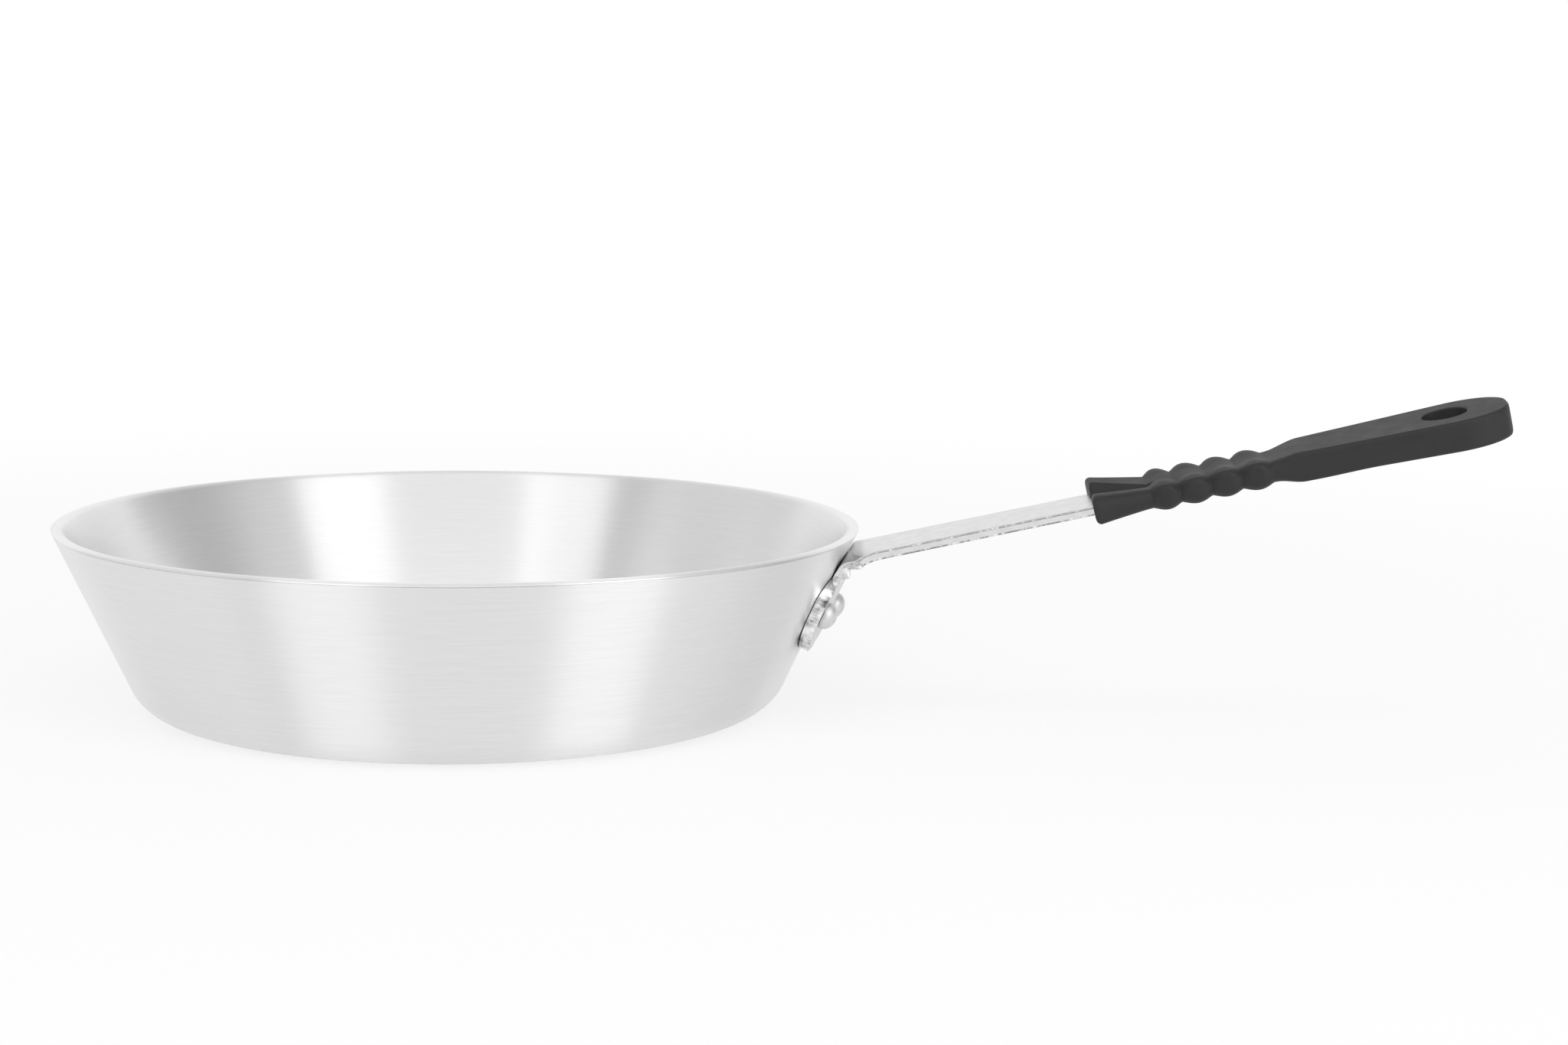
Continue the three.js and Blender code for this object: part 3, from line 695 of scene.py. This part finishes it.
def paddle_section(distance):
    """The paddle's half width, height above and below the strap's face, and upper and lower corner radius."""
    part = min((distance - paddle_start) / (round_end_start - paddle_start), 1)
    half = paddle_root_half + (paddle_end_half - paddle_root_half) * part
    past = max(distance - round_end_start, 0) / paddle_end_length
    half *= max(1 - past ** paddle_end_roundness, 0) ** (1 / paddle_end_roundness)
    setback = rounded_in(paddle_corner, grip_length - distance)
    growth = paddle_tip_growth * ease((distance - paddle_start) / (grip_length - paddle_start))
    root = paddle_root_below * (1 - ease((distance - paddle_start) / paddle_root_length))
    return [half, paddle_above + growth - setback, paddle_below + growth + root - setback, paddle_corner,
            paddle_corner]


def beads_passed(distance):
    """How many beads lie before a distance from the front, of which the first is the shortest."""
    past = min(max(distance, flare_length), beads_end) - flare_length
    return past / first_bead if past < first_bead else 1 + (past - first_bead) / bead_pitch


def bead_section(distance):
    """The same for the row of beads."""
    passed = beads_passed(distance)
    crest = abs(math.sin(math.pi * passed))
    above = valley_above + valley_last_rise * (passed / bead_count) ** 2
    return [valley_half + bead_bulge * crest, above + bead_rise * crest, valley_below + bead_drop * crest,
            valley_upper_corner + (crest_upper_corner - valley_upper_corner) * crest, valley_lower_corner]


def grip_section(distance):
    """The same for any distance from the front."""
    if distance < flare_length:
        flare = [flare_half, flare_above, flare_below, flare_upper_corner, flare_lower_corner]
        section = mixed(flare, bead_section(flare_length), (distance / flare_length) ** flare_curve)
        setback = rounded_in(flare_edge, distance)
        return [size - setback for size in section[:3]] + section[3:]
    if distance < beads_end:
        return bead_section(distance)
    if distance < paddle_start:
        return mixed(bead_section(beads_end), paddle_section(paddle_start),
                     ease((distance - beads_end) / paddle_blend))
    return paddle_section(distance)


def grip_twist(distance):
    """How far the sleeve is twisted on the tang."""
    twist = twist_front + (twist_beads - twist_front) * ease((distance - twist_from) / twist_length)
    return twist + (twist_paddle - twist_beads) * ease((distance - beads_end) / (2 * paddle_blend))


def grip_ring(distance):
    """One ring of the grip's outside: (distance, side, height) points from the front and the strap's face."""
    half, above, below, upper, lower = grip_section(distance)
    upper = min(upper, half * 0.95, (above + below) * 0.47)
    lower = min(lower, half * 0.95, (above + below) * 0.47)
    wide = half - upper
    narrow = half - lower
    groove_left = max(1 - distance / groove_length, 0)
    near = -min(groove_near, wide * 0.9)
    far = max(groove_far - groove_far_drift * (1 - groove_left), near * 0.8)
    deep = max(far - groove_wall * groove_left - 0.3, near * 0.9)
    corner_steps = 8
    side_steps = 6
    under_steps = 20
    quarter = [math.pi / 2 * i / corner_steps for i in range(corner_steps + 1)]
    level = [above - upper + (lower - below - above + upper) * i / side_steps for i in range(1, side_steps)]
    outline = [(wide + upper * math.cos(a), above - upper + upper * math.sin(a)) for a in quarter]
    for start, end, steps in ((wide, far, 10), (far, deep, 6), (deep, near, 14), (near, -wide, 6)):
        outline += [(start + (end - start) * i / steps, above) for i in range(1, steps + 1)]
    outline += [(-wide - upper * math.sin(a), above - upper + upper * math.cos(a)) for a in quarter[1:]]
    outline += [(-half, height) for height in level]
    outline += [(-narrow - lower * math.cos(a), lower - below - lower * math.sin(a)) for a in quarter]
    outline += [(narrow * (2 * i / under_steps - 1), -below) for i in range(1, under_steps)]
    outline += [(narrow + lower * math.sin(a), lower - below - lower * math.cos(a)) for a in quarter]
    outline += [(half, height) for height in reversed(level)]
    depth = max(above - slide_gap - groove_floor, 0) * ease((groove_length - distance) / groove_runout)
    crest = abs(math.sin(math.pi * beads_passed(distance)))
    skew = front_skew + (bead_skew - front_skew) * ease((distance - skew_from) / skew_length)
    skew *= 1 - ease((distance - beads_end) / paddle_blend)
    hollow_left = max(1 - distance / flare_length, 0)
    twist = grip_twist(distance)
    ring = []
    for side, height in outline:
        if height > 0:
            lobe = math.exp(-((abs(side) - bead_lobe_aside) / bead_lobe_reach) ** 2)
            in_groove = max(min((far - side) / (far - deep), (side - near) / (deep - near)), 0)
            height += bead_lobe * crest * lobe - depth * in_groove
        hollow = front_hollow * hollow_left * max(1 - abs(side) / flare_half, 0)
        ring.append(Vector((distance + hollow - side * skew,
                            side * math.cos(twist) - height * math.sin(twist),
                            side * math.sin(twist) + height * math.cos(twist))))
    return ring


# Silicone rubber, charcoal, moulded in a blasted tool: matte with a faint even grain, a little dust caught
# in it and a soft grey sheen where the surface turns away.
grain_size = 0.7  # drawn about twice as coarse as the real grain, which is too fine to show
mottle_size = 9.0
silicone, tree, output = new_material("moulded_silicone_rubber")
place = add_node(tree, "ShaderNodeTexCoord")
grain = add_node(tree, "ShaderNodeTexNoise", {},
                 {"Vector": place.outputs["Object"], "Scale": 1 / (grain_size * MM), "Detail": 3.0})
mottle = add_node(tree, "ShaderNodeTexNoise", {},
                  {"Vector": place.outputs["Object"], "Scale": 1 / (mottle_size * MM), "Detail": 4.0,
                   "Roughness": 0.6})
silicone_colour = add_node(tree, "ShaderNodeValToRGB", {}, {"Fac": mottle.outputs["Fac"]},
                           [(0.35, "#212122"), (0.65, "#272728")])
silicone_roughness = add_node(tree, "ShaderNodeMapRange", {},
                              {"Value": mottle.outputs["Fac"], "From Min": 0.3, "From Max": 0.7,
                               "To Min": 0.5, "To Max": 0.62})
grain_bump = add_node(tree, "ShaderNodeBump", {},
                      {"Height": grain.outputs["Fac"], "Strength": 0.18, "Distance": 0.05 * MM})
shader = add_node(tree, "ShaderNodeBsdfPrincipled", {},
                  {"Base Color": silicone_colour.outputs["Color"],
                   "Roughness": silicone_roughness.outputs["Result"], "IOR": 1.43,
                   "Normal": grain_bump.outputs[0]})
tree.links.new(shader.outputs[0], output.inputs[0])

grip_distances = [flare_edge * (1 - math.cos(math.pi / 2 * i / 6)) for i in range(6)]
grip_distances += [flare_edge + (flare_length - flare_edge) * i / 18 for i in range(18)]
bead_steps = 16
for bead in range(bead_count):
    for i in range(bead_steps):
        share = (1 - math.cos(math.pi * i / bead_steps)) / 2
        if bead == 0:
            grip_distances.append(flare_length + first_bead * share)
        else:
            grip_distances.append(flare_length + first_bead + bead_pitch * (bead - 1 + share))
grip_distances += [beads_end + paddle_blend * i / 16 for i in range(16)]
grip_distances += [paddle_start + (round_end_start - paddle_start) * i / 40 for i in range(40)]
end_turns = [math.radians(88 * i / 26) for i in range(27)]
grip_distances += [round_end_start + paddle_end_length * math.sin(turn) for turn in end_turns]

strap_across = Vector((0, math.cos(strap_roll), 0)) + run_up * math.sin(strap_roll)
strap_normal = run_along.cross(strap_across)
grip_origin = run_start + run_along * grip_front


def on_strap(point):
    """A (distance, side, height) point of the grip in the pan's own axes."""
    return grip_origin + run_along * point[0] + strap_across * point[1] + strap_normal * point[2]


points, faces = skinned([[on_strap(point) for point in grip_ring(distance)] for distance in grip_distances])
grip = add_piece("grip_sleeve_silicone", points, faces, silicone, crease=28)

# The pocket that the tang fills, and the hanging hole with its rounded edges, are cut out of the moulding.
pocket_front = strap_width_at_grip / 2 + slide_gap
pocket_back = tang_width / 2 + slide_gap
pocket_end = tang_end - grip_front + slide_gap
pocket_mouth = -8.0  # stands out of the front, so that the cut goes right through it
pocket_outline = [(pocket_mouth, -pocket_front), (tang_shoulder_start, -pocket_front),
                  (tang_shoulder_end, -pocket_back), (pocket_end, -pocket_back), (pocket_end, pocket_back),
                  (tang_shoulder_end, pocket_back), (tang_shoulder_start, pocket_front),
                  (pocket_mouth, pocket_front)]
points = [on_strap((d, s, h)) for h in (-strap_thickness - slide_gap, slide_gap) for d, s in pocket_outline]
count = len(pocket_outline)
faces = [(i, (i + 1) % count, count + (i + 1) % count, count + i) for i in range(count)]
faces += [tuple(reversed(range(count))), tuple(range(count, 2 * count))]
pocket = add_piece("pocket_cutter", points, faces, silicone)

hole_steps = 64
edge_steps = 8
cutter_proud = 4.0
cutter_flare = 2.5 * hole_edge
hole_middle = grip_length - hole_to_tip
hole_twist = grip_twist(hole_middle)
hole_above, hole_below = paddle_section(hole_middle)[1:3]
hole_rows = []
for face, direction in ((-hole_below, -1), (hole_above, 1)):
    rows = []
    for i in range(edge_steps + 1):
        angle = math.pi / 2 * i / edge_steps
        rows.append((face - direction * hole_edge * (1 - math.sin(angle)), hole_edge * (1 - math.cos(angle))))
    rows.append((face + direction * cutter_proud, cutter_flare))
    hole_rows += rows if direction > 0 else list(reversed(rows))
rings = []
for height, widen in hole_rows:
    ring = []
    for i in range(hole_steps):
        angle = 2 * math.pi * i / hole_steps
        distance = hole_middle + (hole_length / 2 + widen) * math.cos(angle)
        side = (hole_width / 2 + widen) * math.sin(angle)
        ring.append(on_strap((distance, side * math.cos(hole_twist) - height * math.sin(hole_twist),
                              side * math.sin(hole_twist) + height * math.cos(hole_twist))))
    rings.append(ring)
points, faces = skinned(rings)
hole = add_piece("hole_cutter", points, faces, silicone)

for cutter in (pocket, hole):
    cut = grip.modifiers.new(cutter.name, "BOOLEAN")
    cut.operation = "DIFFERENCE"
    cut.solver = "EXACT"
    cut.object = cutter
even_shade = grip.modifiers.new("even_shade", "WEIGHTED_NORMAL")
even_shade.keep_sharp = True
bpy.context.view_layer.update()
finished = bpy.data.meshes.new_from_object(grip.evaluated_get(bpy.context.evaluated_depsgraph_get()))
grip.modifiers.clear()
grip.data = finished
for cutter in (pocket, hole):
    bpy.data.objects.remove(cutter)
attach(grip, "grip")
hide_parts("grip_sleeve")

# The camera: a short telephoto a metre away, a little above the rim, looking across the handle's side.
camera_from_handle = math.radians(-75)
camera_distance = 1045.8
camera_above = math.radians(11.914)
camera_aside = math.radians(6.966)
camera_down = math.radians(8.137)
camera_roll = math.radians(0.875)
photo_width = 2048
photo_focal = 3480  # in pixels of the photograph

toward = Matrix.Rotation(camera_from_handle, 3, "Z")
side_turn = camera_from_handle + math.pi - camera_aside
looking = Vector((math.cos(side_turn) * math.cos(camera_down), math.sin(side_turn) * math.cos(camera_down),
                  -math.sin(camera_down)))
level = Vector((math.sin(side_turn), -math.cos(side_turn), 0))
upright = level.cross(looking)
right = level * math.cos(camera_roll) + upright * math.sin(camera_roll)
above = upright * math.cos(camera_roll) - level * math.sin(camera_roll)
camera = bpy.data.cameras.new("photo_camera")
camera.sensor_width = 36
camera.lens = camera.sensor_width * photo_focal / photo_width
camera_object = bpy.data.objects.new("photo_camera", camera)
camera_object.matrix_world = Matrix((right, above, -looking)).transposed().to_4x4()
camera_line = Vector((math.cos(camera_above), 0, math.sin(camera_above)))
camera_object.location = toward @ camera_line * camera_distance * MM
bpy.context.scene.collection.objects.link(camera_object)
bpy.context.scene.camera = camera_object

# The studio: a white floor that shows as white away from the pan and keeps the pan's soft shadow near it.
floor_half = 6000
mirrored_glow = 0.43  # share of the floor's glow that the metal mirrors
near_pan_glow = 0.74  # the rest near the pan is lit paint, which takes the shadow
near_pan = 300
away_from_pan = 1100
floor_white, tree, output = new_material("studio_floor_white")
path = add_node(tree, "ShaderNodeLightPath")
mirrored = add_node(tree, "ShaderNodeMath", {"operation": "MULTIPLY"},
                    {0: path.outputs["Is Glossy Ray"], 1: mirrored_glow})
seen = add_node(tree, "ShaderNodeMath", {"operation": "ADD"},
                {0: path.outputs["Is Camera Ray"], 1: mirrored.outputs[0]})
seen = add_node(tree, "ShaderNodeMath", {"operation": "ADD", "use_clamp": True},
                {0: seen.outputs[0], 1: path.outputs["Is Transmission Ray"]})
place = add_node(tree, "ShaderNodeTexCoord")
from_pan = add_node(tree, "ShaderNodeVectorMath", {"operation": "LENGTH"}, {0: place.outputs["Object"]})
whitening = add_node(tree, "ShaderNodeMapRange", {"interpolation_type": "SMOOTHSTEP"},
                     {"Value": from_pan.outputs["Value"], "From Min": near_pan * MM,
                      "From Max": away_from_pan * MM, "To Min": near_pan_glow, "To Max": 1.0})
share = add_node(tree, "ShaderNodeMath", {"operation": "MULTIPLY"},
                 {0: seen.outputs[0], 1: whitening.outputs["Result"]})
paint = add_node(tree, "ShaderNodeBsdfDiffuse", {}, {"Color": linear("#F7F7F7")})
glow = add_node(tree, "ShaderNodeEmission", {}, {"Color": linear("#FFFFFF"), "Strength": 1.0})
blend = add_node(tree, "ShaderNodeMixShader", {},
                 {0: share.outputs[0], 1: paint.outputs[0], 2: glow.outputs[0]})
tree.links.new(blend.outputs[0], output.inputs[0])
floor = add_piece("studio_floor", [(-floor_half, -floor_half, 0), (floor_half, -floor_half, 0),
                                   (floor_half, floor_half, 0), (-floor_half, floor_half, 0)],
                  [(0, 1, 2, 3)], floor_white)


def studio_place(aside, up, distance):
    """A place in the studio, by its angle to the camera's right, elevation and distance from the bowl."""
    turn = camera_from_handle + math.radians(aside)
    up = math.radians(up)
    direction = Vector((math.cos(up) * math.cos(turn), math.cos(up) * math.sin(turn), math.sin(up)))
    return direction * distance * MM


# White surroundings light the pan evenly. The metal mirrors a studio with a grey ceiling, a white backdrop, a
# white wall with a dark foot behind the camera, and grey screens at both sides, by their angle to the right.
screens = [(-180, "#FFFFFF"), (-135, "#FFFFFF"), (-131, "#DCDCDC"), (-100, "#E2E2E2"), (-70, "#EEEEEE"),
           (-66, "#C8C8C8"), (-55, "#C0C0C0"), (-53, "#FFFFFF"), (0, "#FFFFFF"), (58, "#FCFCFC"),
           (77, "#E2E2E2"), (93, "#B8B8B8"), (106, "#8E8E8E"), (121, "#8E8E8E"), (124, "#FFFFFF"),
           (180, "#FFFFFF")]
world = bpy.data.worlds.new("studio_white")
bpy.context.scene.world = world
world.use_nodes = True
tree = world.node_tree
tree.nodes.clear()
path = add_node(tree, "ShaderNodeLightPath")
place = add_node(tree, "ShaderNodeTexCoord")
ahead = add_node(tree, "ShaderNodeVectorMath", {"operation": "DOT_PRODUCT"},
                 {0: place.outputs["Generated"], 1: studio_place(0, 0, 1 / MM)})
sideways = add_node(tree, "ShaderNodeVectorMath", {"operation": "DOT_PRODUCT"},
                    {0: place.outputs["Generated"], 1: studio_place(90, 0, 1 / MM)})
aside = add_node(tree, "ShaderNodeMath", {"operation": "ARCTAN2"},
                 {0: sideways.outputs["Value"], 1: ahead.outputs["Value"]})
turn_share = add_node(tree, "ShaderNodeMapRange", {},
                      {"Value": aside.outputs[0], "From Min": -math.pi, "From Max": math.pi})
mirrored = add_node(tree, "ShaderNodeValToRGB", {}, {"Fac": turn_share.outputs["Result"]},
                    [((degrees + 180) / 360, grey) for degrees, grey in screens])
fill = add_node(tree, "ShaderNodeBackground", {}, {"Color": linear("#FFFFFF"), "Strength": 0.8})
height = add_node(tree, "ShaderNodeSeparateXYZ", {}, {0: place.outputs["Generated"]})
back_room = add_node(tree, "ShaderNodeValToRGB", {}, {"Fac": height.outputs["Z"]},
                     [(0.9, "#FFFFFF"), (0.97, "#B0B0B0")])
front_room = add_node(tree, "ShaderNodeValToRGB", {}, {"Fac": height.outputs["Z"]},
                      [(0.0, "#FFFFFF"), (0.02, "#525252"), (0.17, "#525252"), (0.22, "#FFFFFF"),
                       (0.9, "#FFFFFF"), (0.97, "#B0B0B0")])
in_front = add_node(tree, "ShaderNodeMapRange", {},
                    {"Value": ahead.outputs["Value"], "From Min": 0.35, "From Max": 0.6})
room = add_node(tree, "ShaderNodeMix", {"data_type": "RGBA"},
                {0: in_front.outputs["Result"], 6: back_room.outputs["Color"],
                 7: front_room.outputs["Color"]})
shaded = add_node(tree, "ShaderNodeMix", {"data_type": "RGBA", "blend_type": "MULTIPLY"},
                  {0: 1.0, 6: mirrored.outputs["Color"], 7: room.outputs[2]})
studio = add_node(tree, "ShaderNodeBackground", {}, {"Color": shaded.outputs[2], "Strength": 1.0})
white = add_node(tree, "ShaderNodeBackground", {}, {"Color": linear("#FFFFFF"), "Strength": 1.0})
blend = add_node(tree, "ShaderNodeMixShader", {},
                 {0: path.outputs["Is Glossy Ray"], 1: fill.outputs[0], 2: studio.outputs[0]})
seen = add_node(tree, "ShaderNodeMath", {"operation": "ADD", "use_clamp": True},
                {0: path.outputs["Is Camera Ray"], 1: path.outputs["Is Transmission Ray"]})
blend = add_node(tree, "ShaderNodeMixShader", {},
                 {0: seen.outputs[0], 1: blend.outputs[0], 2: white.outputs[0]})
add_node(tree, "ShaderNodeOutputWorld", {}, {"Surface": blend.outputs[0]})

# Two upright softboxes stand left and right of the camera and make the wedges on the bowl, and a weaker one
# hangs over the camera.
for name, aside, up, width, height, watts in (("softbox_left", -38, 18, 0.8, 1.0, 3.6),
                                              ("softbox_right", 42, 18, 0.8, 1.0, 4.6),
                                              ("softbox_over_camera", 0, 60, 1.2, 0.6, 2.4)):
    lamp = bpy.data.lights.new(name, "AREA")
    lamp.shape = "RECTANGLE"
    lamp.size = width
    lamp.size_y = height
    lamp.energy = watts
    lamp_object = bpy.data.objects.new(name, lamp)
    lamp_object.location = studio_place(aside, up, 1600)
    lamp_object.rotation_euler = (-lamp_object.location).to_track_quat("-Z", "Y").to_euler()
    bpy.context.scene.collection.objects.link(lamp_object)

bpy.context.scene.view_settings.view_transform = "Standard"
